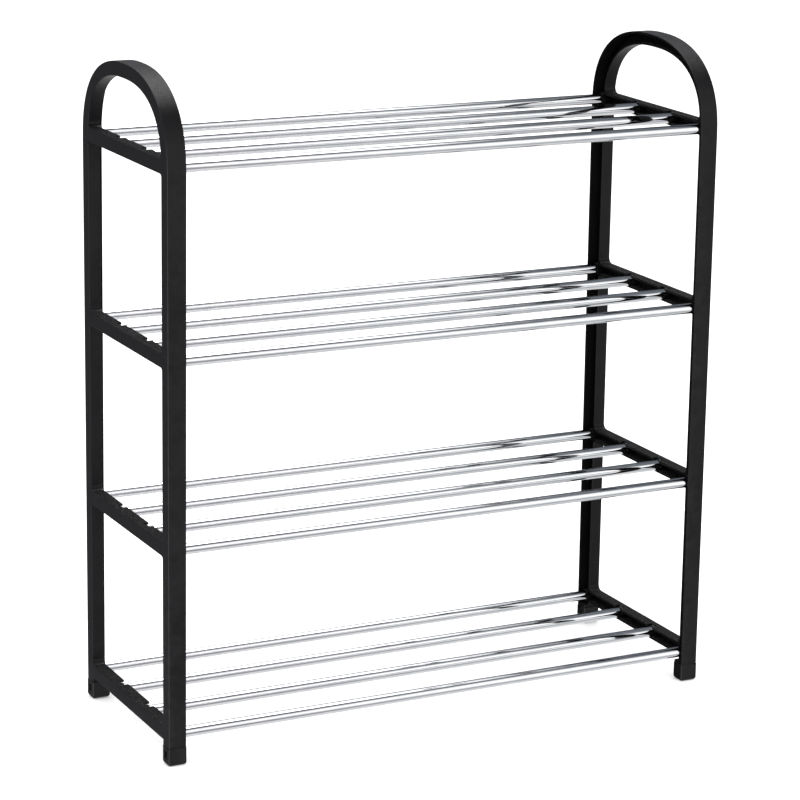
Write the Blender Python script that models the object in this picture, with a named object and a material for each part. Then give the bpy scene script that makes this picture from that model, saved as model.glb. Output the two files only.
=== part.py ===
"""Four-tier shoe rack: two arched end frames, four foot caps and sixteen push-fit tubes.

World frame: X runs along the tubes, Y from front to back, Z up.  The origin is on the floor under
the middle of the rack.  Sizes below are in millimetres and turned into metres when meshes are made.
"""
import math

import bmesh
import bpy
from mathutils import Vector
from mathutils.geometry import delaunay_2d_cdt

MM = 0.001

# Overall rack
RACK_WIDTH = 500.0
FRAME_DEPTH = 183.0
TIER_HEIGHTS = (25.5, 180.5, 335.5, 490.5)
TIER_NAMES = ("tier_1", "tier_2", "tier_3", "tier_4")
TUBE_Y = (-84.4, -28.5, 28.5, 84.4)
TUBE_NAMES = ("front", "front_middle", "rear_middle", "rear")
GAP = 0.3

# Mesh making: closest points that stay apart, and the profile of a plain round
SAME_POINT = 1e-5
FLAT = 1e-6
ROUND_PROFILE = 0.5

# Moulded end frame: heights are measured inward from its flat outer face
WEB = 2.2
RIM_WIDTH = 16.4
RIM_WIDTH_AT_FLOOR = 15.2
RIM_THICKNESS = 2.0
RIB_WIDTH = 10.8
RIB_THICKNESS = 2.0
POST_DEPTH = 12.2
POST_BOTTOM = 15.3
POST_FLOOR = 2.0
BAR_ABOVE_TUBE = 5.9
BAR_BELOW_TUBE = 5.6
SHELF_FILLET = 5.0
UNDER_FILLET = 2.5
FILLET_STEPS = 4

# Arched handle: a squarish arch that starts level with the top crossbar
ARCH_SPRING = 486.2
ARCH_RISE = 74.3
ARCH_POWER = 2.36
ARCH_RISE_SHRINK = 0.98
ARCH_POWER_GAIN = 0.01
ARCH_STEPS = 40
SHORTEST_STEP = 1.0

# Sockets that take the tube ends
TUBE_RADIUS = 4.55
TUBE_WALL = 0.8
ROUND_STEPS = 20
BORE_RADIUS = TUBE_RADIUS + GAP
COLLAR_RADIUS = 5.5
MIDDLE_COLLAR_WIDTH = 8.0
END_COLLAR_WIDTH = 12.5
NOTCH_HALF = 5.0
NOTCH_SHELF = 6.0

# Foot caps, and the tongue under each post that they push onto
FOOT_SIZE = (15.9, 13.0, 15.0)
FOOT_OVERHANG = 0.3
FOOT_ROUND = 2.6
FOOT_ROUND_STEPS = 2
POCKET_FLOOR = 2.5
TONGUE_X = (2.0, 13.6)
TONGUE_Y = (81.3, 89.3)
TONGUE_BOTTOM = POCKET_FLOOR + GAP

HALF_DEPTH = FRAME_DEPTH / 2
OPEN_HALF = HALF_DEPTH - POST_DEPTH
CAVITY_INSET = POST_DEPTH - RIB_THICKNESS


def arch_half(inset, z):
    """Half-width at height z of the frame outline moved inward by inset."""
    half_width = HALF_DEPTH - inset
    if z <= ARCH_SPRING:
        return half_width
    rise = ARCH_RISE - inset * ARCH_RISE_SHRINK
    power = ARCH_POWER + inset * ARCH_POWER_GAIN
    return half_width * max(1 - ((z - ARCH_SPRING) / rise) ** power, 0.0) ** (1 / power)


def arch(inset, start):
    """Points over the arch, from leg to leg at height start, for the outline moved inward by inset."""
    half_width = HALF_DEPTH - inset
    rise = ARCH_RISE - inset * ARCH_RISE_SHRINK
    power = ARCH_POWER + inset * ARCH_POWER_GAIN
    points = [(arch_half(inset, start), start)]
    for step in range(ARCH_STEPS + 1):
        angle = math.pi * step / ARCH_STEPS
        across = math.copysign(abs(math.cos(angle)) ** (2 / power), math.cos(angle))
        up = max(math.sin(angle), 0.0) ** (2 / power)
        z = ARCH_SPRING + rise * up
        if z > start + SHORTEST_STEP:
            points.append((half_width * across, z))
    points.append((-arch_half(inset, start), start))
    return points


def circle(centre_y, centre_z, radius):
    """Closed ring of points around a tube axis."""
    points = []
    for step in range(ROUND_STEPS):
        angle = 2 * math.pi * step / ROUND_STEPS
        points.append((centre_y + radius * math.cos(angle), centre_z + radius * math.sin(angle)))
    return points


def corner(centre_y, centre_z, radius, start_degrees):
    """Quarter-round corner of a window, drawn anticlockwise from start_degrees."""
    points = []
    for step in range(FILLET_STEPS + 1):
        angle = math.radians(start_degrees + 90 * step / FILLET_STEPS)
        points.append((centre_y + radius * math.cos(angle), centre_z + radius * math.sin(angle)))
    return points


def window_bottom(bottom):
    """The two lower corners of a window, rounded where the crossbar runs into the posts."""
    edge = arch_half(POST_DEPTH, bottom + SHELF_FILLET) - SHELF_FILLET
    height = bottom + SHELF_FILLET
    left = corner(-edge, height, SHELF_FILLET, 180)
    right = corner(edge, height, SHELF_FILLET, 270)
    return left + right


def windows():
    """Outline of each opening of the end frame, from the lowest bay to the arched handle."""
    loops = []
    for lower, upper in zip(TIER_HEIGHTS, TIER_HEIGHTS[1:]):
        edge = OPEN_HALF - UNDER_FILLET
        height = upper - BAR_BELOW_TUBE - UNDER_FILLET
        loop = window_bottom(lower + BAR_ABOVE_TUBE)
        loop += corner(edge, height, UNDER_FILLET, 0)
        loop += corner(-edge, height, UNDER_FILLET, 90)
        loops.append(loop)
    bottom = TIER_HEIGHTS[-1] + BAR_ABOVE_TUBE
    loops.append(window_bottom(bottom) + arch(POST_DEPTH, bottom + SHELF_FILLET)[1:-1])
    return loops


def point_in_loop(y, z, loop):
    """Even-odd test of a point against a closed loop."""
    inside = False
    for (y0, z0), (y1, z1) in zip(loop, loop[1:] + loop[:1]):
        if (z0 > z) != (z1 > z) and y < y0 + (y1 - y0) * (z - z0) / (z1 - z0):
            inside = not inside
    return inside


def hollow_loops():
    """Inner edges of the ribs and bar walls, which bound the channel open to the rack side."""
    half = HALF_DEPTH - CAVITY_INSET
    floor = POST_BOTTOM + POST_FLOOR
    first = TIER_HEIGHTS[0] - BAR_BELOW_TUBE + RIB_THICKNESS
    loops = [arch(RIM_THICKNESS, floor)
             + [(-half, floor), (-half, first), (half, first), (half, floor)]]
    for lower, upper in zip(TIER_HEIGHTS, TIER_HEIGHTS[1:]):
        low = lower + BAR_ABOVE_TUBE - RIB_THICKNESS
        high = upper - BAR_BELOW_TUBE + RIB_THICKNESS
        loops.append([(-half, low), (half, low), (half, high), (-half, high)])
    low = TIER_HEIGHTS[-1] + BAR_ABOVE_TUBE - RIB_THICKNESS
    loops.append(arch(CAVITY_INSET, low))
    return loops


def notch_loops():
    """Cut-outs in the top wall of each crossbar above the two middle tubes."""
    loops = []
    for height in TIER_HEIGHTS:
        low = height + BAR_ABOVE_TUBE - RIB_THICKNESS
        high = height + BAR_ABOVE_TUBE
        for y in TUBE_Y[1:-1]:
            loops.append([(y - NOTCH_HALF, low), (y + NOTCH_HALF, low),
                          (y + NOTCH_HALF, high), (y - NOTCH_HALF, high)])
    return loops


def outline_loop():
    """Outer silhouette of the end frame above the foot caps."""
    under = TIER_HEIGHTS[0] - BAR_BELOW_TUBE
    return (arch(0.0, POST_BOTTOM)
            + [(-OPEN_HALF, POST_BOTTOM), (-OPEN_HALF, under),
               (OPEN_HALF, under), (OPEN_HALF, POST_BOTTOM)])


def tongue_loops():
    """Outline of the tongue under each post."""
    low, high = TONGUE_Y
    front = [(-high, TONGUE_BOTTOM), (-low, TONGUE_BOTTOM), (-low, POST_BOTTOM), (-high, POST_BOTTOM)]
    rear = [(low, TONGUE_BOTTOM), (high, TONGUE_BOTTOM), (high, POST_BOTTOM), (low, POST_BOTTOM)]
    return [front, rear]


def floor_loops():
    """Outline of the solid floor that closes the channel of each post."""
    low = POST_BOTTOM
    high = POST_BOTTOM + POST_FLOOR
    front = [(-HALF_DEPTH, low), (-OPEN_HALF, low), (-OPEN_HALF, high), (-HALF_DEPTH, high)]
    rear = [(OPEN_HALF, low), (HALF_DEPTH, low), (HALF_DEPTH, high), (OPEN_HALF, high)]
    return [front, rear]


def socket_loops():
    """Bore, collar outline and collar width of every tube socket."""
    sockets = []
    for height in TIER_HEIGHTS:
        for y in TUBE_Y:
            width = END_COLLAR_WIDTH if abs(y) > HALF_DEPTH / 2 else MIDDLE_COLLAR_WIDTH
            sockets.append((circle(y, height, BORE_RADIUS), circle(y, height, COLLAR_RADIUS), width))
    return sockets


def frame_span(y, z, outline, openings, hollows, notches, sockets):
    """Range of depth that is solid at one point of the end frame, or None where it is open."""
    if z < POST_BOTTOM:
        in_tongue = TONGUE_Y[0] < abs(y) < TONGUE_Y[1] and z > TONGUE_BOTTOM
        return TONGUE_X if in_tongue else None
    if not point_in_loop(y, z, outline):
        return None
    if any(point_in_loop(y, z, loop) for loop in openings):
        return None
    in_channel = point_in_loop(y, z, hollows[0])
    in_channel = in_channel and not any(point_in_loop(y, z, loop) for loop in hollows[1:])
    in_notch = any(point_in_loop(y, z, loop) for loop in notches)
    if in_notch:
        top = NOTCH_SHELF
    elif in_channel:
        top = WEB
    elif abs(y) < arch_half(RIM_THICKNESS + GAP, z) and z > POST_BOTTOM + POST_FLOOR:
        top = RIB_WIDTH
    else:
        top = RIM_WIDTH
    for bore, collar, width in sockets:
        if point_in_loop(y, z, bore):
            return (0.0, WEB)
        if point_in_loop(y, z, collar):
            top = max(top, width)
    return (0.0, top)


def triangulate(points, edges):
    """Constrained triangulation; returns its vertices and anticlockwise triangles."""
    verts, _, faces, _, _, _ = delaunay_2d_cdt([Vector(p) for p in points], edges, [], 0, SAME_POINT)
    triangles = []
    for face in faces:
        a, b, c = (verts[i] for i in face)
        turn = (b.x - a.x) * (c.y - a.y) - (b.y - a.y) * (c.x - a.x)
        triangles.append(tuple(face) if turn > 0 else tuple(reversed(face)))
    return [tuple(v) for v in verts], triangles


def enclosed(triangles, rim):
    """The triangles on the left of the directed rim edges, found by spreading from the rim."""
    owner = {}
    for triangle in triangles:
        for edge in zip(triangle, triangle[1:] + triangle[:1]):
            owner[edge] = triangle
    fence = set(rim)
    waiting = [owner[edge] for edge in rim]
    kept = set()
    while waiting:
        triangle = waiting.pop()
        if triangle in kept:
            continue
        kept.add(triangle)
        for i, j in zip(triangle, triangle[1:] + triangle[:1]):
            if (i, j) not in fence and (j, i) in owner:
                waiting.append(owner[(j, i)])
    return sorted(kept)


def loops_to_graph(loops):
    """Vertices and edges of a set of closed loops."""
    points = []
    edges = []
    for loop in loops:
        first = len(points)
        points += loop
        edges += [(first + i, first + (i + 1) % len(loop)) for i in range(len(loop))]
    return points, edges


def stepped_mesh(name, loops, span_at):
    """Closed mesh whose solid range along X is constant inside every cell of a flat drawing."""
    verts, triangles = triangulate(*loops_to_graph(loops))
    spans = []
    for triangle in triangles:
        y = sum(verts[i][0] for i in triangle) / 3
        z = sum(verts[i][1] for i in triangle) / 3
        spans.append(span_at(y, z))

    sides = {}
    stops = {}
    for triangle, span in zip(triangles, spans):
        for i, j in zip(triangle, triangle[1:] + triangle[:1]):
            sides[(i, j)] = span
        for i in triangle:
            stops.setdefault(i, set()).update(span or ())

    mesh_verts = []
    index = {}

    def vertex(point, depth):
        key = (point, depth)
        if key not in index:
            index[key] = len(mesh_verts)
            mesh_verts.append((depth * MM, verts[point][0] * MM, verts[point][1] * MM))
        return index[key]

    def column(point, low, high):
        return [vertex(point, depth) for depth in sorted(stops[point]) if low <= depth <= high]

    faces = []
    for (i, j), span in sides.items():
        other = sides.get((j, i))
        if not span or span == other:
            continue
        walls = [span]
        if other:
            walls = []
            if span[0] < other[0]:
                walls.append((span[0], other[0]))
            if span[1] > other[1]:
                walls.append((other[1], span[1]))
        for low, high in walls:
            faces.append(column(i, low, high)[::-1] + column(j, low, high))

    for end in (0, 1):
        for depth in sorted({span[end] for span in spans if span}):
            rim = [(i, j) for (i, j), span in sides.items()
                   if span and span[end] == depth
                   and (not sides.get((j, i)) or sides[(j, i)][end] != depth)]
            used = sorted({i for edge in rim for i in edge})
            local = {point: k for k, point in enumerate(used)}
            rim = [(local[i], local[j]) for i, j in rim]
            _, cap = triangulate([verts[i] for i in used], rim)
            for triangle in enclosed(cap, rim):
                face = [vertex(used[i], depth) for i in triangle]
                faces.append(face if end else face[::-1])

    mesh = bpy.data.meshes.new(name)
    mesh.from_pydata(mesh_verts, [], faces)
    return mesh


def narrow_rim(mesh):
    """Taper the rim of both posts: full width from the arch up, narrower towards the floor."""
    for vert in mesh.vertices:
        if vert.co.x > (RIM_WIDTH - GAP) * MM:
            below = max(ARCH_SPRING * MM - vert.co.z, 0.0) / (ARCH_SPRING * MM)
            vert.co.x -= below * (RIM_WIDTH - RIM_WIDTH_AT_FLOOR) * MM


def tube_mesh(name, length):
    """Open-ended round tube along X, centred on the origin."""
    half = length / 2
    bore = TUBE_RADIUS - TUBE_WALL
    rings = []
    for x, radius in ((-half, TUBE_RADIUS), (half, TUBE_RADIUS), (half, bore), (-half, bore)):
        rings.append([(x * MM, y * MM, z * MM) for y, z in circle(0.0, 0.0, radius)])
    faces = []
    for ring in range(len(rings)):
        here = ring * ROUND_STEPS
        there = (ring + 1) % len(rings) * ROUND_STEPS
        for step in range(ROUND_STEPS):
            after = (step + 1) % ROUND_STEPS
            faces.append((here + step, here + after, there + after, there + step))
    mesh = bpy.data.meshes.new(name)
    mesh.from_pydata([point for ring in rings for point in ring], [], faces)
    return mesh


def foot_mesh(name):
    """Cup-shaped foot cap with a rounded base; local X = 0 is the frame's outer face."""
    size_x, size_y, size_z = (value * MM for value in FOOT_SIZE)
    low_x = -FOOT_OVERHANG * MM
    high_y = (HALF_DEPTH + FOOT_OVERHANG) * MM
    work = bmesh.new()
    bmesh.ops.create_cube(work, size=1.0)
    for vert in work.verts:
        vert.co.x = low_x + (vert.co.x + 0.5) * size_x
        vert.co.y = high_y - (0.5 - vert.co.y) * size_y
        vert.co.z = (vert.co.z + 0.5) * size_z
    base = [edge for edge in work.edges if all(vert.co.z < FLAT for vert in edge.verts)]
    bmesh.ops.bevel(work, geom=base, offset=FOOT_ROUND * MM, segments=FOOT_ROUND_STEPS,
                    profile=ROUND_PROFILE, affect='EDGES')
    work.faces.ensure_lookup_table()
    top = max(work.faces, key=lambda face: face.calc_center_median().z)
    rim = bmesh.ops.extrude_face_region(work, geom=[top])
    bmesh.ops.delete(work, geom=[top], context='FACES_ONLY')
    mouth = [item for item in rim["geom"] if isinstance(item, bmesh.types.BMVert)]
    shrink_to_pocket(mouth)
    floor = [item for item in rim["geom"] if isinstance(item, bmesh.types.BMFace)]
    sunk = bmesh.ops.extrude_face_region(work, geom=floor)
    bmesh.ops.delete(work, geom=floor, context='FACES_ONLY')
    for item in sunk["geom"]:
        if isinstance(item, bmesh.types.BMVert):
            item.co.z = POCKET_FLOOR * MM
    bmesh.ops.recalc_face_normals(work, faces=work.faces)
    mesh = bpy.data.meshes.new(name)
    work.to_mesh(mesh)
    work.free()
    return mesh


def shrink_to_pocket(verts):
    """Move the corners of the cap's mouth in to leave GAP around the tongue."""
    middle_x = sum(vert.co.x for vert in verts) / len(verts)
    middle_y = sum(vert.co.y for vert in verts) / len(verts)
    for vert in verts:
        is_high_x = vert.co.x > middle_x
        is_high_y = vert.co.y > middle_y
        vert.co.x = (TONGUE_X[1] + GAP if is_high_x else TONGUE_X[0] - GAP) * MM
        vert.co.y = (TONGUE_Y[1] + GAP if is_high_y else TONGUE_Y[0] - GAP) * MM


def material(name, colour, roughness, metallic):
    """Plain Principled material."""
    made = bpy.data.materials.new(name)
    made.use_nodes = True
    shader = made.node_tree.nodes["Principled BSDF"]
    shader.inputs["Base Color"].default_value = (*colour, 1.0)
    shader.inputs["Roughness"].default_value = roughness
    shader.inputs["Metallic"].default_value = metallic
    return made


def place(name, mesh, made, location, turn=0.0):
    """Add one sub-part to the scene."""
    part = bpy.data.objects.new(name, mesh)
    part.location = location
    part.rotation_euler = (0.0, 0.0, turn)
    part.data.materials.clear()
    part.data.materials.append(made)
    bpy.context.scene.collection.objects.link(part)
    return part


for leftover in list(bpy.data.objects):
    bpy.data.objects.remove(leftover, do_unlink=True)

black_plastic = material("black_plastic", (0.016, 0.016, 0.018), 0.42, 0.0)
foot_plastic = material("foot_plastic", (0.014, 0.014, 0.016), 0.5, 0.0)
chrome = material("chrome_tube", (0.86, 0.87, 0.89), 0.1, 1.0)

# End frames: one moulding, used twice and turned to face its twin
frame_outline = outline_loop()
frame_openings = windows()
frame_hollows = hollow_loops()
frame_notches = notch_loops()
frame_sockets = socket_loops()
frame_loops = [frame_outline] + frame_openings + frame_hollows + frame_notches
frame_loops += [bore for bore, _, _ in frame_sockets] + [collar for _, collar, _ in frame_sockets]
frame_loops += floor_loops() + tongue_loops()


def end_frame_span(y, z):
    """Solid range of the end frame at one point of its drawing."""
    return frame_span(y, z, frame_outline, frame_openings, frame_hollows, frame_notches,
                      frame_sockets)


frame_mesh = stepped_mesh("end_frame", frame_loops, end_frame_span)
narrow_rim(frame_mesh)
frame_edge = RACK_WIDTH / 2 * MM
place("left_end_frame", frame_mesh, black_plastic, (-frame_edge, 0.0, 0.0))
place("right_end_frame", frame_mesh, black_plastic, (frame_edge, 0.0, 0.0), math.pi)

# Foot caps, one under each post
cap_mesh = foot_mesh("foot_cap")
cap_shift = (HALF_DEPTH + FOOT_OVERHANG) * MM - FOOT_SIZE[1] * MM / 2
for side, edge_x, turn in (("left", -frame_edge, 0.0), ("right", frame_edge, math.pi)):
    across = math.cos(turn)
    place(side + "_" + ("rear" if across > 0 else "front") + "_foot_cap",
          cap_mesh, foot_plastic, (edge_x, 0.0, 0.0), turn)
    place(side + "_" + ("front" if across > 0 else "rear") + "_foot_cap",
          cap_mesh, foot_plastic, (edge_x, -2 * cap_shift * across, 0.0), turn)

# Tubes, front to rear on every tier
tube_length = RACK_WIDTH - 2 * (WEB + GAP)
rod_mesh = tube_mesh("shelf_tube", tube_length)
for tier_name, tier_height in zip(TIER_NAMES, TIER_HEIGHTS):
    for tube_name, tube_y in zip(TUBE_NAMES, TUBE_Y):
        place(tier_name + "_" + tube_name + "_tube", rod_mesh, chrome,
              (0.0, tube_y * MM, tier_height * MM))
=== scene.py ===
"""Looks for the four-tier shoe rack: rounded black end frames, foot caps and chromed tubes."""

import math

import bpy
from mathutils import Matrix, Vector


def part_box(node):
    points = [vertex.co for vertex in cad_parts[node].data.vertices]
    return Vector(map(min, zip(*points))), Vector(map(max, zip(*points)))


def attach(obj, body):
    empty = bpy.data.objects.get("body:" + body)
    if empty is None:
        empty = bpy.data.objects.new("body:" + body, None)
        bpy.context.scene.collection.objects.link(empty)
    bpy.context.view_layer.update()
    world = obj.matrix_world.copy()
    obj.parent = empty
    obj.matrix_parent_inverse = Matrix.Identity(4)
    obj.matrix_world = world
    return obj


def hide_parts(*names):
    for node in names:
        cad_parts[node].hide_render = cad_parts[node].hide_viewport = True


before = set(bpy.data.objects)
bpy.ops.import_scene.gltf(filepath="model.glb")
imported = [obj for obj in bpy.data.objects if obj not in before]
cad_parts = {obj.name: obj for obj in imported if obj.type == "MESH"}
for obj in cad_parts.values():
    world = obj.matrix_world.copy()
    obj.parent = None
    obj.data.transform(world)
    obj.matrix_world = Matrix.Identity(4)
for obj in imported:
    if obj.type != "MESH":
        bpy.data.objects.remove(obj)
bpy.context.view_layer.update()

MM = 0.001
SIDES = ("left", "right")
TIERS = ("tier_1", "tier_2", "tier_3", "tier_4")
TUBES = ("front", "front_middle", "rear_middle", "rear")

# End frames, in metres
FRAME_FACE = -250.0 * MM
CHANNEL_FLOOR = FRAME_FACE + 2.1 * MM
SEAM_HEIGHT = 15.3 * MM
TIER_HEIGHTS = (25.5 * MM, 180.5 * MM, 335.5 * MM, 490.5 * MM)
HALF_DEPTH = 91.5 * MM
OUTLINE_FROM = HALF_DEPTH - 0.1 * MM
CAVITY_HALF = 81.5 * MM
CAVITY_RISE = 3.95 * MM
SHELF_RISE = 5.9 * MM
SHELF_HALF = 77.0 * MM
OUTER_EDGE_ROUND = 0.8 * MM
SMALL_EDGE_ROUND = 0.4 * MM

# Arch: a superellipse above the posts, and the shares of its reach that mark outline and channel
SPRING_HEIGHT = 486.2 * MM
ARCH_RISE = 74.3 * MM
ARCH_POWER = 2.36
ARCH_OUTLINE = 0.985
ARCH_CHANNEL = (0.74, 0.965)

# Foot caps
CAP_BASE_ROUND = 2.6 * MM
CAP_CORNER_ROUND = 0.9 * MM
CAP_WALL = 1.6 * MM
CAP_POCKET = 12.4 * MM
CATCH_BORDER = 3.1 * MM
CATCH_DEPTH = 0.8 * MM

# Tubes
TUBE_SIDES = 48
TUBE_WALL = 0.8 * MM
TUBE_END_ROUND = 0.25 * MM

# Tolerances for finding faces and edges by place, and the angles that count as a corner
HAIR = 0.01 * MM
TOUCH = 0.05 * MM
NEAR = 0.1 * MM
SHELF_BAND = 0.5 * MM
WELD = 0.2 * MM
FLAT_ANGLE = 0.4
MOULDING_ANGLE = 34
TUBE_ANGLE = 40
ROUND_PROFILE = 0.5


# ---------------------------------------------------------------- bench helpers

def only(piece):
    """Make one piece the only selected and active one."""
    if bpy.context.mode != "OBJECT":
        bpy.ops.object.mode_set(mode="OBJECT")
    bpy.ops.object.select_all(action="DESELECT")
    piece.select_set(True)
    bpy.context.view_layer.objects.active = piece


def open_edit(piece, element="FACE"):
    """Enter edit mode on a piece with the given kind of element picked."""
    only(piece)
    bpy.ops.object.mode_set(mode="EDIT")
    bpy.ops.mesh.select_mode(type=element)


def close_edit():
    """Leave edit mode."""
    bpy.ops.object.mode_set(mode="OBJECT")


def clear_picks(piece):
    """Unselect every vertex, edge and face of a piece in object mode."""
    for group in (piece.data.vertices, piece.data.edges, piece.data.polygons):
        group.foreach_set("select", [False] * len(group))


def pick_faces(piece, wanted):
    """Select the faces whose centre and normal pass a test, then enter edit mode."""
    only(piece)
    clear_picks(piece)
    for face in piece.data.polygons:
        face.select = wanted(face.center, face.normal)
    open_edit(piece, "FACE")


def pick_edges(piece, wanted):
    """Select the edges whose two ends pass a test, then enter edit mode."""
    only(piece)
    clear_picks(piece)
    points = piece.data.vertices
    for edge in piece.data.edges:
        edge.select = wanted(points[edge.vertices[0]].co, points[edge.vertices[1]].co)
    open_edit(piece, "EDGE")


def settle(piece):
    """Put a finished piece's place into its mesh."""
    only(piece)
    bpy.ops.object.transform_apply(location=True, rotation=True, scale=True)


def tidy_normals(piece):
    """Merge doubles and turn every face outwards."""
    open_edit(piece)
    bpy.ops.mesh.select_all(action="SELECT")
    bpy.ops.mesh.remove_doubles(threshold=HAIR)
    bpy.ops.mesh.normals_make_consistent(inside=False)
    close_edit()


def smooth(piece, degrees):
    """Shade smooth below an angle, with large faces kept flat up to their rounded edges."""
    only(piece)
    bpy.ops.object.shade_smooth_by_angle(angle=math.radians(degrees))
    bpy.ops.object.modifier_add(type="WEIGHTED_NORMAL")
    weighted = piece.modifiers[-1]
    weighted.keep_sharp = True
    bpy.ops.object.modifier_apply(modifier=weighted.name)


def copy_of(piece, name):
    """Copy of a piece with its own mesh."""
    only(piece)
    bpy.ops.object.duplicate()
    twin = bpy.context.view_layer.objects.active
    twin.name = name
    twin.data.name = name
    return twin


def finish_piece(piece, body, node):
    """Fix a finished piece to its body, in place of its CAD node."""
    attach(piece, body)
    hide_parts(node)


# ---------------------------------------------------------------- shader groups

def new_group(name, inputs, outputs):
    """Empty shader group with named sockets; returns the tree and its two end nodes."""
    tree = bpy.data.node_groups.new(name, "ShaderNodeTree")
    for socket_name, kind, value in inputs:
        socket = tree.interface.new_socket(socket_name, in_out="INPUT", socket_type=kind)
        if value is not None:
            socket.default_value = value
    for socket_name, kind in outputs:
        tree.interface.new_socket(socket_name, in_out="OUTPUT", socket_type=kind)
    start = tree.nodes.new("NodeGroupInput")
    end = tree.nodes.new("NodeGroupOutput")
    start.location = (-900, 0)
    end.location = (600, 0)
    return tree, start, end


def add_node(tree, kind, place, **settings):
    """Add one node with attributes set."""
    node = tree.nodes.new(kind)
    node.location = place
    for key, value in settings.items():
        setattr(node, key, value)
    return node


def ramp(node, low, high):
    """Set a two-stop colour ramp from black at low to white at high."""
    node.color_ramp.elements[0].position = low
    node.color_ramp.elements[1].position = high


def build_moulded_grain():
    """Fine spark-eroded texture of a moulding: a height for bump and a mask for roughness."""
    tree, start, end = new_group(
        "moulded_grain",
        [("Position", "NodeSocketVector", None), ("Grain Scale", "NodeSocketFloat", 2600.0),
         ("Flow Scale", "NodeSocketFloat", 30.0)],
        [("Height", "NodeSocketFloat"), ("Patches", "NodeSocketFloat")])
    fine = add_node(tree, "ShaderNodeTexNoise", (-600, 200))
    fine.inputs["Detail"].default_value = 3.0
    fine.inputs["Roughness"].default_value = 0.6
    pits = add_node(tree, "ShaderNodeTexVoronoi", (-600, -50), feature="SMOOTH_F1")
    pits.inputs["Smoothness"].default_value = 0.6
    flow = add_node(tree, "ShaderNodeTexNoise", (-600, -350))
    flow.inputs["Detail"].default_value = 4.0
    flow.inputs["Distortion"].default_value = 0.6
    blend = add_node(tree, "ShaderNodeMath", (-200, 100), operation="MULTIPLY_ADD")
    blend.inputs[1].default_value = 0.45
    patches = add_node(tree, "ShaderNodeValToRGB", (-200, -350))
    ramp(patches, 0.35, 0.68)
    link = tree.links.new
    for texture, scale in ((fine, "Grain Scale"), (pits, "Grain Scale"), (flow, "Flow Scale")):
        link(start.outputs["Position"], texture.inputs["Vector"])
        link(start.outputs[scale], texture.inputs["Scale"])
    link(pits.outputs["Distance"], blend.inputs[0])
    link(fine.outputs["Fac"], blend.inputs[2])
    link(blend.outputs[0], end.inputs["Height"])
    link(flow.outputs["Fac"], patches.inputs["Fac"])
    link(patches.outputs["Color"], end.inputs["Patches"])
    return tree


def build_edge_wear_and_sheen():
    """Mask of handled edges, for wear and for a painted sheen: convex corners from the surface's own
    curvature, broken up by noise.
    """
    tree, start, end = new_group(
        "edge_wear_and_sheen",
        [("Position", "NodeSocketVector", None), ("Curvature", "NodeSocketFloat", 0.5),
         ("Spread", "NodeSocketFloat", 160.0)],
        [("Mask", "NodeSocketFloat")])
    corner = add_node(tree, "ShaderNodeValToRGB", (-500, 150))
    ramp(corner, 0.53, 0.62)
    breakup = add_node(tree, "ShaderNodeTexNoise", (-500, -150))
    breakup.inputs["Detail"].default_value = 5.0
    patch = add_node(tree, "ShaderNodeValToRGB", (-250, -150))
    ramp(patch, 0.38, 0.66)
    both = add_node(tree, "ShaderNodeMath", (100, 0), operation="MULTIPLY", use_clamp=True)
    link = tree.links.new
    link(start.outputs["Curvature"], corner.inputs["Fac"])
    link(start.outputs["Position"], breakup.inputs["Vector"])
    link(start.outputs["Spread"], breakup.inputs["Scale"])
    link(breakup.outputs["Fac"], patch.inputs["Fac"])
    link(corner.outputs["Color"], both.inputs[0])
    link(patch.outputs["Color"], both.inputs[1])
    link(both.outputs[0], end.inputs["Mask"])
    return tree


def build_shelf_dust():
    """Thin dust that settles on faces that look up."""
    tree, start, end = new_group(
        "shelf_dust",
        [("Position", "NodeSocketVector", None), ("Facing", "NodeSocketVector", None),
         ("Amount", "NodeSocketFloat", 0.1)],
        [("Mask", "NodeSocketFloat")])
    parts = add_node(tree, "ShaderNodeSeparateXYZ", (-600, 150))
    upward = add_node(tree, "ShaderNodeMapRange", (-400, 150))
    upward.inputs["From Min"].default_value = 0.6
    upward.inputs["From Max"].default_value = 1.0
    specks = add_node(tree, "ShaderNodeTexNoise", (-600, -150))
    specks.inputs["Scale"].default_value = 900.0
    specks.inputs["Detail"].default_value = 6.0
    speck_mask = add_node(tree, "ShaderNodeValToRGB", (-350, -150))
    ramp(speck_mask, 0.45, 0.75)
    product = add_node(tree, "ShaderNodeMath", (0, 0), operation="MULTIPLY")
    scaled = add_node(tree, "ShaderNodeMath", (250, 0), operation="MULTIPLY", use_clamp=True)
    link = tree.links.new
    link(start.outputs["Facing"], parts.inputs[0])
    link(parts.outputs["Z"], upward.inputs["Value"])
    link(start.outputs["Position"], specks.inputs["Vector"])
    link(specks.outputs["Fac"], speck_mask.inputs["Fac"])
    link(upward.outputs[0], product.inputs[0])
    link(speck_mask.outputs["Color"], product.inputs[1])
    link(product.outputs[0], scaled.inputs[0])
    link(start.outputs["Amount"], scaled.inputs[1])
    link(scaled.outputs[0], end.inputs["Mask"])
    return tree


GRAIN = build_moulded_grain()
EDGE_WEAR_AND_SHEEN = build_edge_wear_and_sheen()
DUST = build_shelf_dust()


def place_group(tree, group, place):
    """Add a group to a material."""
    node = tree.nodes.new("ShaderNodeGroup")
    node.node_tree = group
    node.location = place
    return node


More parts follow.
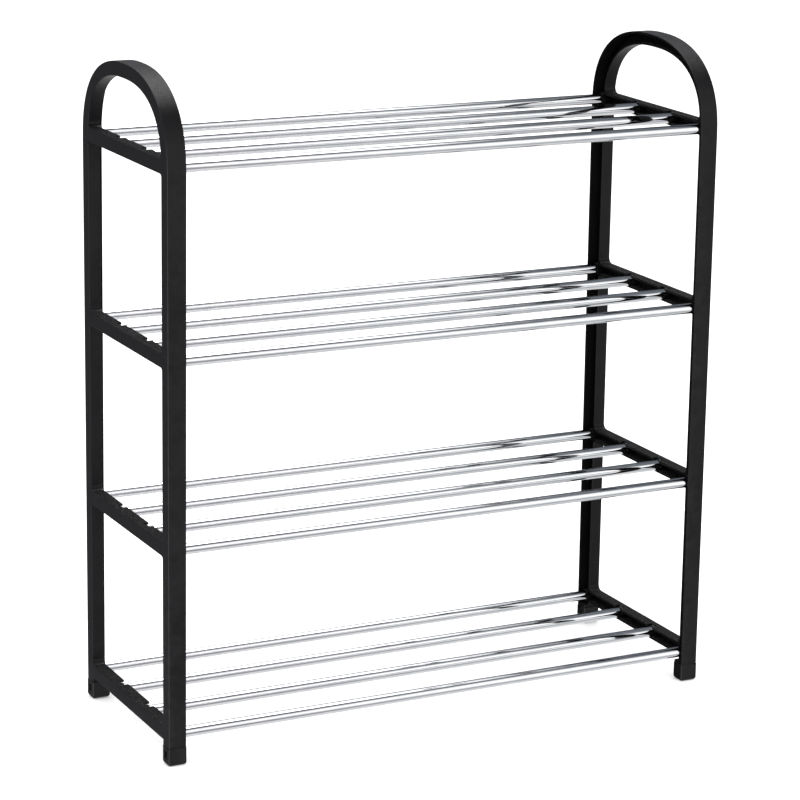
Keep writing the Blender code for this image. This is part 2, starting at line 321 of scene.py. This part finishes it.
def moulded_plastic(name, dark, pale, wear_and_sheen_colour, rough_low, rough_high, shine, bump):
    """Satin moulded plastic with grain, flow patches, edges lightened as wear and as painted sheen, and a
    trace of dust.
    """
    made = bpy.data.materials.new(name)
    made.use_nodes = True
    tree = made.node_tree
    link = tree.links.new
    shader = tree.nodes["Principled BSDF"]
    shader.inputs["Specular IOR Level"].default_value = shine
    where = add_node(tree, "ShaderNodeTexCoord", (-1500, 0))
    surface = add_node(tree, "ShaderNodeNewGeometry", (-1500, -300))
    grain = place_group(tree, GRAIN, (-1150, 200))
    wear_and_sheen = place_group(tree, EDGE_WEAR_AND_SHEEN, (-1150, -50))
    dust = place_group(tree, DUST, (-1150, -300))
    dust.inputs["Amount"].default_value = 0.35
    for group in (grain, wear_and_sheen, dust):
        link(where.outputs["Object"], group.inputs["Position"])
    link(surface.outputs["Pointiness"], wear_and_sheen.inputs["Curvature"])
    link(surface.outputs["Normal"], dust.inputs["Facing"])

    tint = add_node(tree, "ShaderNodeMix", (-800, 250), data_type="RGBA")
    tint.inputs["A"].default_value = (*dark, 1.0)
    tint.inputs["B"].default_value = (*pale, 1.0)
    # Convex edges turn lighter: part wear, part painted sheen
    worn_and_sheened = add_node(tree, "ShaderNodeMix", (-550, 200), data_type="RGBA")
    worn_and_sheened.inputs["B"].default_value = (*wear_and_sheen_colour, 1.0)
    dusty = add_node(tree, "ShaderNodeMix", (-300, 150), data_type="RGBA")
    dusty.inputs["B"].default_value = (0.11, 0.11, 0.115, 1.0)
    link(grain.outputs["Patches"], tint.inputs["Factor"])
    link(tint.outputs["Result"], worn_and_sheened.inputs["A"])
    link(wear_and_sheen.outputs["Mask"], worn_and_sheened.inputs["Factor"])
    link(worn_and_sheened.outputs["Result"], dusty.inputs["A"])
    link(dust.outputs["Mask"], dusty.inputs["Factor"])
    link(dusty.outputs["Result"], shader.inputs["Base Color"])

    rough = add_node(tree, "ShaderNodeMapRange", (-550, -150))
    rough.inputs["To Min"].default_value = rough_low
    rough.inputs["To Max"].default_value = rough_high
    polished = add_node(tree, "ShaderNodeMath", (-300, -150), operation="MULTIPLY_ADD")
    polished.inputs[1].default_value = -0.10
    link(grain.outputs["Patches"], rough.inputs["Value"])
    link(wear_and_sheen.outputs["Mask"], polished.inputs[0])
    link(rough.outputs[0], polished.inputs[2])
    link(polished.outputs[0], shader.inputs["Roughness"])

    relief = add_node(tree, "ShaderNodeBump", (-300, -400))
    relief.inputs["Strength"].default_value = bump
    relief.inputs["Distance"].default_value = 0.06 * MM
    link(grain.outputs["Height"], relief.inputs["Height"])
    link(relief.outputs["Normal"], shader.inputs["Normal"])
    return made


def chromed_steel(name):
    """Bright chrome over drawn tube: faint grinding rings, slow waviness and small cloudy patches."""
    made = bpy.data.materials.new(name)
    made.use_nodes = True
    tree = made.node_tree
    link = tree.links.new
    shader = tree.nodes["Principled BSDF"]
    shader.inputs["Metallic"].default_value = 1.0
    where = add_node(tree, "ShaderNodeTexCoord", (-1500, 0))

    rings_frame = add_node(tree, "ShaderNodeMapping", (-1250, 200))
    rings_frame.inputs["Scale"].default_value = (6000.0, 40.0, 40.0)
    rings = add_node(tree, "ShaderNodeTexNoise", (-1000, 200))
    rings.inputs["Scale"].default_value = 1.0
    rings.inputs["Detail"].default_value = 2.0
    wave_frame = add_node(tree, "ShaderNodeMapping", (-1250, -150))
    wave_frame.inputs["Scale"].default_value = (9.0, 60.0, 60.0)
    waves = add_node(tree, "ShaderNodeTexNoise", (-1000, -150))
    waves.inputs["Scale"].default_value = 1.0
    waves.inputs["Detail"].default_value = 1.0
    clouds = place_group(tree, GRAIN, (-1000, -450))
    clouds.inputs["Flow Scale"].default_value = 45.0
    link(where.outputs["Object"], rings_frame.inputs["Vector"])
    link(where.outputs["Object"], wave_frame.inputs["Vector"])
    link(where.outputs["Object"], clouds.inputs["Position"])
    link(rings_frame.outputs["Vector"], rings.inputs["Vector"])
    link(wave_frame.outputs["Vector"], waves.inputs["Vector"])

    tint = add_node(tree, "ShaderNodeMix", (-500, 200), data_type="RGBA")
    tint.inputs["A"].default_value = (0.60, 0.61, 0.63, 1.0)
    tint.inputs["B"].default_value = (0.66, 0.66, 0.67, 1.0)
    link(clouds.outputs["Patches"], tint.inputs["Factor"])
    link(tint.outputs["Result"], shader.inputs["Base Color"])
    rough = add_node(tree, "ShaderNodeMapRange", (-500, -100))
    rough.inputs["To Min"].default_value = 0.04
    rough.inputs["To Max"].default_value = 0.08
    link(clouds.outputs["Patches"], rough.inputs["Value"])
    link(rough.outputs[0], shader.inputs["Roughness"])
    ring_relief = add_node(tree, "ShaderNodeBump", (-500, -350))
    ring_relief.inputs["Strength"].default_value = 0.12
    ring_relief.inputs["Distance"].default_value = 0.01 * MM
    wave_relief = add_node(tree, "ShaderNodeBump", (-250, -350))
    wave_relief.inputs["Strength"].default_value = 0.12
    wave_relief.inputs["Distance"].default_value = 0.25 * MM
    link(rings.outputs["Fac"], ring_relief.inputs["Height"])
    link(waves.outputs["Fac"], wave_relief.inputs["Height"])
    link(ring_relief.outputs["Normal"], wave_relief.inputs["Normal"])
    link(wave_relief.outputs["Normal"], shader.inputs["Normal"])
    return made


# Each black's edge colour is lighter than its body: part wear, part painted sheen
frame_plastic = moulded_plastic(
    "satin_black_frame", dark=(0.0029, 0.0027, 0.0032), pale=(0.0043, 0.0041, 0.0048),
    wear_and_sheen_colour=(0.011, 0.011, 0.012), rough_low=0.34, rough_high=0.44, shine=0.13, bump=0.35)
# Darker, duller copy of the frame black: painted shade for the channels, crossbar tops, inward faces and
# catch windows
shade_painted_plastic = moulded_plastic(
    "black_with_painted_shade", dark=(0.0011, 0.0011, 0.0012), pale=(0.0020, 0.0020, 0.0022),
    wear_and_sheen_colour=(0.004, 0.004, 0.004), rough_low=0.58, rough_high=0.70, shine=0.04, bump=0.50)
cap_plastic = moulded_plastic(
    "satin_black_cap", dark=(0.0028, 0.0028, 0.0030), pale=(0.0040, 0.0040, 0.0044),
    wear_and_sheen_colour=(0.010, 0.010, 0.011), rough_low=0.38, rough_high=0.48, shine=0.14, bump=0.45)
chrome = chromed_steel("chromed_tube_steel")


def dress(piece, *made):
    """Give a piece its materials, the first one on every face."""
    piece.data.materials.clear()
    for each in made:
        piece.data.materials.append(each)


# ---------------------------------------------------------------- end frames

def outer_rim_edge(a, b):
    """True for the long corner where the flat outer face turns into the rim."""
    if abs(a.x - FRAME_FACE) > TOUCH or abs(b.x - FRAME_FACE) > TOUCH:
        return False
    low = SEAM_HEIGHT + NEAR
    if a.z < low and b.z < low:
        return False
    return on_outline(a) and on_outline(b)


def on_outline(point):
    """True on the outside of the posts and over the arch."""
    if point.z <= SPRING_HEIGHT:
        return abs(point.y) > OUTLINE_FROM
    return arch_reach(point) > ARCH_OUTLINE


def arch_reach(point):
    """How far out a point of the arch lies: 1 on its outer line."""
    across = abs(point.y) / HALF_DEPTH
    up = max(point.z - SPRING_HEIGHT, 0.0) / ARCH_RISE
    return across ** ARCH_POWER + up ** ARCH_POWER


def in_channel(point):
    """True between the rib and the rim of a post or the arch, and between the walls of a crossbar."""
    if point.x < CHANNEL_FLOOR or point.z < SEAM_HEIGHT:
        return False
    if ARCH_CHANNEL[0] < arch_reach(point) < ARCH_CHANNEL[1]:
        return True
    between_walls = any(abs(point.z - tier) < CAVITY_RISE for tier in TIER_HEIGHTS)
    return between_walls and abs(point.y) < CAVITY_HALF


def on_shelf(face):
    """True for the upper face of a crossbar."""
    height = min(abs(face.center.z - tier - SHELF_RISE) for tier in TIER_HEIGHTS)
    return face.normal.z > 0.7 and height < SHELF_BAND and abs(face.center.y) < SHELF_HALF


def paint_shade_on_faces(piece):
    """Second material, the darker black that paints shade, on the channel, on the crossbar tops and on
    every face that looks at the tubes.
    """
    for face in piece.data.polygons:
        inward = face.normal.x > 0.7 and face.center.x > CHANNEL_FLOOR
        if inward or in_channel(face.center) or on_shelf(face):
            face.material_index = 1


def make_end_frame():
    """Left end frame: the CAD solid welded, its outer corner well rounded and the rest eased.

    Concave faces are split last, which keeps the triangles of the crossbar walls clear of the tubes.
    """
    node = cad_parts["left_end_frame"]
    piece = bpy.data.objects.new("left_end_frame_moulding", node.data.copy())
    bpy.context.scene.collection.objects.link(piece)
    open_edit(piece, "VERT")
    bpy.ops.mesh.select_all(action="SELECT")
    bpy.ops.mesh.remove_doubles(threshold=WELD)
    bpy.ops.mesh.dissolve_limited(angle_limit=math.radians(FLAT_ANGLE))
    close_edit()
    pick_edges(piece, outer_rim_edge)
    bpy.ops.mesh.bevel(offset=OUTER_EDGE_ROUND, segments=4, profile=ROUND_PROFILE, affect="EDGES",
                       clamp_overlap=False)
    close_edit()
    open_edit(piece, "EDGE")
    bpy.ops.mesh.select_all(action="DESELECT")
    bpy.ops.mesh.edges_select_sharp(sharpness=math.radians(MOULDING_ANGLE))
    close_edit()
    keep_seam_crisp(piece)
    open_edit(piece, "EDGE")
    bpy.ops.mesh.bevel(offset=SMALL_EDGE_ROUND, segments=2, profile=ROUND_PROFILE, affect="EDGES",
                       clamp_overlap=False)
    bpy.ops.mesh.select_all(action="SELECT")
    bpy.ops.mesh.vert_connect_concave()
    close_edit()
    smooth(piece, MOULDING_ANGLE)
    # The second material paints shade into the channel, onto the crossbar tops and onto the inward faces
    dress(piece, frame_plastic, shade_painted_plastic)
    paint_shade_on_faces(piece)
    return piece


def keep_seam_crisp(piece):
    """Unpick the edges at the seam above the foot caps, so that it stays a hairline."""
    points = piece.data.vertices
    for edge in piece.data.edges:
        if all(points[end].co.z < SEAM_HEIGHT + TOUCH for end in edge.vertices):
            edge.select = False


left_frame = make_end_frame()
right_frame = copy_of(left_frame, "right_end_frame_moulding")
only(right_frame)
right_frame.rotation_euler = (0.0, 0.0, math.pi)
settle(right_frame)
finish_piece(left_frame, "root", "left_end_frame")
finish_piece(right_frame, "root", "right_end_frame")


# ---------------------------------------------------------------- foot caps

def make_foot_cap(node):
    """Foot cap: a block rounded underneath, hollowed for the tongue, with a catch window outside."""
    low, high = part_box(node)
    size = high - low
    middle = (low + high) / 2
    outward = math.copysign(1.0, middle.x)
    bpy.ops.object.select_all(action="DESELECT")
    bpy.ops.mesh.primitive_cube_add(size=1.0, location=middle, scale=size)
    piece = bpy.context.view_layer.objects.active
    settle(piece)
    pick_edges(piece, lambda a, b: max(a.z, b.z) < low.z + NEAR)
    bpy.ops.mesh.bevel(offset=CAP_BASE_ROUND, segments=6, profile=ROUND_PROFILE, affect="EDGES")
    close_edit()
    pick_edges(piece, lambda a, b: abs(a.z - b.z) > TOUCH)
    bpy.ops.mesh.bevel(offset=CAP_CORNER_ROUND, segments=4, profile=ROUND_PROFILE, affect="EDGES")
    close_edit()
    pick_faces(piece, lambda centre, normal: normal.z > 0.9)
    bpy.ops.mesh.inset(thickness=CAP_WALL)
    bpy.ops.mesh.extrude_region_move(TRANSFORM_OT_translate={"value": (0.0, 0.0, -CAP_POCKET)})
    close_edit()
    pick_faces(piece, lambda centre, normal: normal.x * outward > 0.999
               and abs(centre.x) > abs(middle.x) + size.x * 0.4)
    bpy.ops.mesh.inset(thickness=CATCH_BORDER)
    bpy.ops.mesh.extrude_region_move(TRANSFORM_OT_translate={"value": (-outward * CATCH_DEPTH, 0.0, 0.0)})
    close_edit()
    tidy_normals(piece)
    smooth(piece, MOULDING_ANGLE)
    dress(piece, cap_plastic, shade_painted_plastic)
    # Inward faces and the sunk floor of the catch window take the darker black that paints shade
    outer_face = abs(middle.x) + size.x / 2
    for face in piece.data.polygons:
        looks_in = face.normal.x * outward < -0.9
        sunk = face.normal.x * outward > 0.9 and abs(face.center.x) < outer_face - CATCH_DEPTH / 2
        if looks_in or sunk:
            face.material_index = 1
    return piece


for side in SIDES:
    for end in ("front", "rear"):
        node = side + "_" + end + "_foot_cap"
        cap = make_foot_cap(node)
        cap.name = node + "_moulding"
        cap.data.name = cap.name
        finish_piece(cap, "root", node)


# ---------------------------------------------------------------- tubes

def make_tube(node):
    """Open tube along X with a real wall and eased ends."""
    low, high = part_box(node)
    middle = (low + high) / 2
    radius = (high.z - low.z) / 2
    length = high.x - low.x
    bpy.ops.object.select_all(action="DESELECT")
    bpy.ops.mesh.primitive_cylinder_add(vertices=TUBE_SIDES, radius=radius, depth=length,
                                        end_fill_type="NGON", location=middle,
                                        rotation=(0.0, math.pi / 2, 0.0))
    piece = bpy.context.view_layer.objects.active
    settle(piece)
    pick_faces(piece, lambda centre, normal: abs(normal.x) > 0.9)
    bpy.ops.mesh.inset(thickness=TUBE_WALL)
    bpy.ops.mesh.bridge_edge_loops()
    close_edit()
    pick_edges(piece, lambda a, b: abs(a.x - b.x) < HAIR and ring(a, middle, radius)
               and ring(b, middle, radius))
    bpy.ops.mesh.bevel(offset=TUBE_END_ROUND, segments=2, profile=ROUND_PROFILE, affect="EDGES")
    close_edit()
    tidy_normals(piece)
    smooth(piece, TUBE_ANGLE)
    dress(piece, chrome)
    return piece


def ring(point, middle, radius):
    """True for a point on the outside of a tube."""
    return math.hypot(point.y - middle.y, point.z - middle.z) > radius - NEAR


first_node = TIERS[0] + "_" + TUBES[0] + "_tube"
first_tube = make_tube(first_node)
for tier in TIERS:
    for position in TUBES:
        node = tier + "_" + position + "_tube"
        name = tier + "_" + position + "_chromed_tube"
        if node == first_node:
            tube = first_tube
            tube.name = name
        else:
            tube = copy_of(first_tube, name)
            tube.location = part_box(node)[0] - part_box(first_node)[0]
            settle(tube)
        tube.data.name = name
        finish_piece(tube, "root", node)


# ---------------------------------------------------------------- floor, light and camera

def plain_white(name, colour):
    """Even matt paint for the studio floor."""
    made = bpy.data.materials.new(name)
    made.use_nodes = True
    shader = made.node_tree.nodes["Principled BSDF"]
    shader.inputs["Base Color"].default_value = (*colour, 1.0)
    shader.inputs["Roughness"].default_value = 0.9
    shader.inputs["Specular IOR Level"].default_value = 0.1
    return made


bpy.ops.object.select_all(action="DESELECT")
bpy.ops.mesh.primitive_plane_add(size=40.0, location=(0.0, 0.0, 0.0))
floor = bpy.context.view_layer.objects.active
floor.name = "studio_floor"
dress(floor, plain_white("white_floor", (0.93, 0.93, 0.93)))
floor.visible_glossy = False


def sky_bands(tree, place, stops, tint):
    """Brightness round the circle from the front, under the rack, behind it, overhead and back."""
    bands = add_node(tree, "ShaderNodeValToRGB", place)
    elements = bands.color_ramp.elements
    while len(elements) < len(stops):
        elements.new(0.5)
    for element, (degrees, _) in zip(elements, stops):
        element.position = (degrees + 180.0) / 360.0
    for element, (_, level) in zip(elements, stops):
        share = level / BRIGHTEST
        shade = max(1.0 - level, 0.0)
        element.color = (*(share * (1 + shade * change) for change in tint), 1.0)
    return bands


BRIGHTEST = 10.0
PLAIN_STRENGTH = 1.6
MIDDLE_BLEND = (-0.15, 0.20)
RIGHT_BLEND = (0.35, 0.485)
FAINT_TINT = (-0.03, -0.05, 0.05)
SLATE_TINT = (-0.15, -0.04, 0.10)

# Degrees round the long axis: -180 front, -90 straight down, 0 behind, 90 overhead, 180 front again
LEFT_BANDS = ((-180, 6.00), (-132, 6.00), (-105, 0.80), (-34, 0.45), (-23, 0.30), (-16, 0.20), (0, 0.26),
              (40, 0.20), (58, 3.00), (105, 3.00), (120, 0.30), (140, 0.60), (165, 3.00), (180, 6.00))
MIDDLE_BANDS = ((-180, 1.50), (-169, 0.95), (-158, 0.42), (-143, 0.38), (-133, 0.65), (-116, 1.20),
                (-94, 1.00), (-16, 0.96), (-6, 0.50), (0, 0.20), (28, 0.24), (40, 1.60), (54, 4.50),
                (72, 10.00), (90, 10.00), (98, 2.00), (106, 0.30), (112, 0.12), (126, 0.12), (136, 0.70),
                (144, 1.20), (155, 1.70), (180, 1.60))
RIGHT_BANDS = ((-180, 1.70), (-162, 1.30), (-146, 0.62), (-130, 0.68), (-112, 1.00), (-18, 0.95),
               (-2, 0.30), (12, 0.15), (48, 0.16), (68, 0.20), (98, 0.26), (112, 0.22), (126, 0.45),
               (137, 1.20), (155, 1.70), (180, 1.70))


def studio_world():
    """Soft white studio: pale all round for the eye, and bands of light and shade for gloss."""
    world = bpy.data.worlds.new("studio")
    bpy.context.scene.world = world
    world.use_nodes = True
    tree = world.node_tree
    link = tree.links.new
    tree.nodes.remove(tree.nodes["Background"])
    direction = add_node(tree, "ShaderNodeTexCoord", (-1400, 0))
    parts = add_node(tree, "ShaderNodeSeparateXYZ", (-1200, 0))
    angle = add_node(tree, "ShaderNodeMath", (-1000, 0), operation="ARCTAN2")
    turns = add_node(tree, "ShaderNodeMath", (-800, 0), operation="MULTIPLY_ADD")
    turns.inputs[1].default_value = 0.5 / math.pi
    turns.inputs[2].default_value = 0.5
    link(direction.outputs["Generated"], parts.inputs[0])
    link(parts.outputs["Z"], angle.inputs[0])
    link(parts.outputs["Y"], angle.inputs[1])
    link(angle.outputs[0], turns.inputs[0])
    left = sky_bands(tree, (-550, 300), LEFT_BANDS, FAINT_TINT)
    middle = sky_bands(tree, (-550, 50), MIDDLE_BANDS, FAINT_TINT)
    right = sky_bands(tree, (-550, -200), RIGHT_BANDS, SLATE_TINT)
    for bands in (left, middle, right):
        link(turns.outputs[0], bands.inputs["Fac"])
    so_far = left
    for bands, (low, high) in ((middle, MIDDLE_BLEND), (right, RIGHT_BLEND)):
        across = add_node(tree, "ShaderNodeMapRange", (-250, 400), interpolation_type="SMOOTHSTEP")
        across.inputs["From Min"].default_value = low
        across.inputs["From Max"].default_value = high
        both = add_node(tree, "ShaderNodeMix", (0, 200), data_type="RGBA")
        link(parts.outputs["X"], across.inputs["Value"])
        link(across.outputs[0], both.inputs["Factor"])
        link(so_far.outputs["Color" if so_far is left else "Result"], both.inputs["A"])
        link(bands.outputs["Color"], both.inputs["B"])
        so_far = both
    gloss = add_node(tree, "ShaderNodeBackground", (250, -150))
    gloss.inputs["Strength"].default_value = BRIGHTEST
    plain = add_node(tree, "ShaderNodeBackground", (250, 100))
    plain.inputs["Color"].default_value = (1.0, 1.0, 1.0, 1.0)
    plain.inputs["Strength"].default_value = PLAIN_STRENGTH
    path = add_node(tree, "ShaderNodeLightPath", (250, 400))
    either = add_node(tree, "ShaderNodeMixShader", (500, 0))
    link(so_far.outputs["Result"], gloss.inputs["Color"])
    link(path.outputs["Is Glossy Ray"], either.inputs[0])
    link(plain.outputs[0], either.inputs[1])
    link(gloss.outputs[0], either.inputs[2])
    link(either.outputs[0], tree.nodes["World Output"].inputs["Surface"])


studio_world()


def softbox(name, place, aim, width, depth, power):
    """Large rectangular soft light turned towards a point."""
    lamp = bpy.data.lights.new(name, "AREA")
    lamp.shape = "RECTANGLE"
    lamp.size = width
    lamp.size_y = depth
    lamp.energy = power
    holder = bpy.data.objects.new(name, lamp)
    bpy.context.scene.collection.objects.link(holder)
    holder.location = place
    away = Vector(place) - Vector(aim)
    holder.rotation_euler = away.to_track_quat("Z", "Y").to_euler()
    return holder


top_light = softbox("overhead_softbox", (0.0, 0.2, 2.4), (0.0, 0.0, 0.3), 2.6, 1.8, 30.0)
top_light.visible_glossy = False

CAMERA_PLACE = (-1.11795, -2.21438, 0.91889)
CAMERA_TURN = 0.46731
CAMERA_DIP = 0.24029
CAMERA_ROLL = 0.01554
CAMERA_LENS = 135.783
CAMERA_RISE = -0.075

lens = bpy.data.cameras.new("studio_camera")
lens.sensor_width = 36.0
lens.lens = CAMERA_LENS
lens.shift_y = CAMERA_RISE
lens.clip_start = 0.05
lens.clip_end = 100.0
camera = bpy.data.objects.new("studio_camera", lens)
bpy.context.scene.collection.objects.link(camera)
camera.location = CAMERA_PLACE
turn = Matrix.Rotation(-CAMERA_TURN, 3, "Z") @ Matrix.Rotation(math.pi / 2 - CAMERA_DIP, 3, "X")
camera.rotation_euler = (turn @ Matrix.Rotation(CAMERA_ROLL, 3, "Z")).to_euler()
bpy.context.scene.camera = camera
bpy.context.scene.view_settings.view_transform = "Standard"
